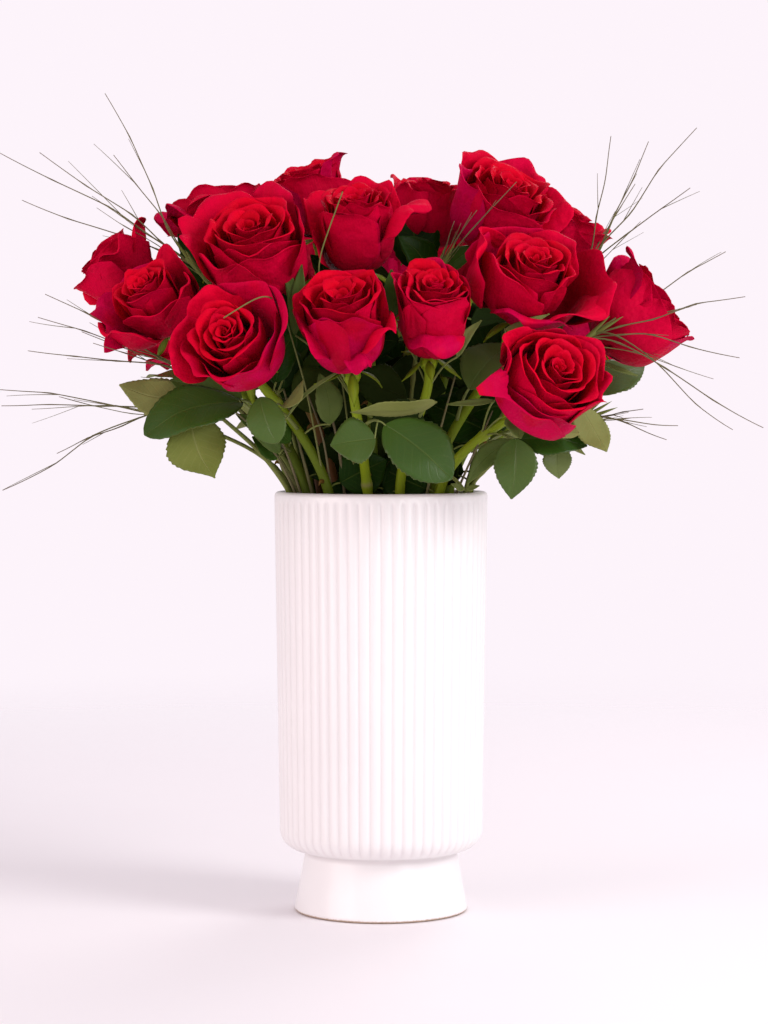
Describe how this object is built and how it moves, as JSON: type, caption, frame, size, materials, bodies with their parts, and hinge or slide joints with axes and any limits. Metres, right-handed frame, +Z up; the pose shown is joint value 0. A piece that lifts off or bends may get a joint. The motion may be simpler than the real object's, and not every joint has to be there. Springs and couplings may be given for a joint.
{
  "type": "roses in a vase",
  "caption": "Bunch of open red roses with leaves and sprays of wiry grass, standing in a tall ribbed ceramic vase on a flared foot.",
  "frame": {"origin": "centre of the vase's foot, on the surface that the vase stands on", "axes": "+Z up the vase, -Y towards the side of the bunch with the most open roses, +X to the right of someone who looks at that side"},
  "size_m": [0.4603, 0.3299, 0.4981],
  "materials": {
    "ceramic": "satin white glaze",
    "petals": "velvety crimson petals",
    "stems": "smooth green, with brown nodes",
    "leaves": "glossy dark green above, olive and matt below",
    "grass": "dry olive-brown wisps with green sheaths"
  },
  "bodies": {
    "root": {"grass_1": "grass", "grass_2": "grass", "grass_3": "grass", "grass_4": "grass", "grass_5": "grass", "grass_6": "grass", "grass_7": "grass", "grass_8": "grass", "leaf_01": "leaves", "leaf_02": "leaves", "leaf_03": "leaves", "leaf_04": "leaves", "leaf_05": "leaves", "leaf_06": "leaves", "leaf_07": "leaves", "leaf_08": "leaves", "leaf_09": "leaves", "leaf_10": "leaves", "leaf_11": "leaves", "rose_01_head": "petals", "rose_01_stem": "stems", "rose_02_head": "petals", "rose_02_stem": "stems", "rose_03_head": "petals", "rose_03_stem": "stems", "rose_04_head": "petals", "rose_04_stem": "stems", "rose_05_head": "petals", "rose_05_stem": "stems", "rose_06_head": "petals", "rose_06_stem": "stems", "rose_07_head": "petals", "rose_07_stem": "stems", "rose_08_head": "petals", "rose_08_stem": "stems", "rose_09_head": "petals", "rose_09_stem": "stems", "rose_10_head": "petals", "rose_10_stem": "stems", "rose_11_head": "petals", "rose_11_stem": "stems", "rose_12_head": "petals", "rose_12_stem": "stems", "rose_13_head": "petals", "rose_13_stem": "stems", "rose_14_head": "petals", "rose_14_stem": "stems", "rose_15_head": "petals", "rose_15_stem": "stems", "rose_16_head": "petals", "rose_16_stem": "stems", "rose_17_head": "petals", "rose_17_stem": "stems", "rose_18_head": "petals", "rose_18_stem": "stems", "rose_19_head": "petals", "rose_19_stem": "stems", "rose_20_head": "petals", "rose_20_stem": "stems", "vase": "ceramic"}
  },
  "joints": []
}
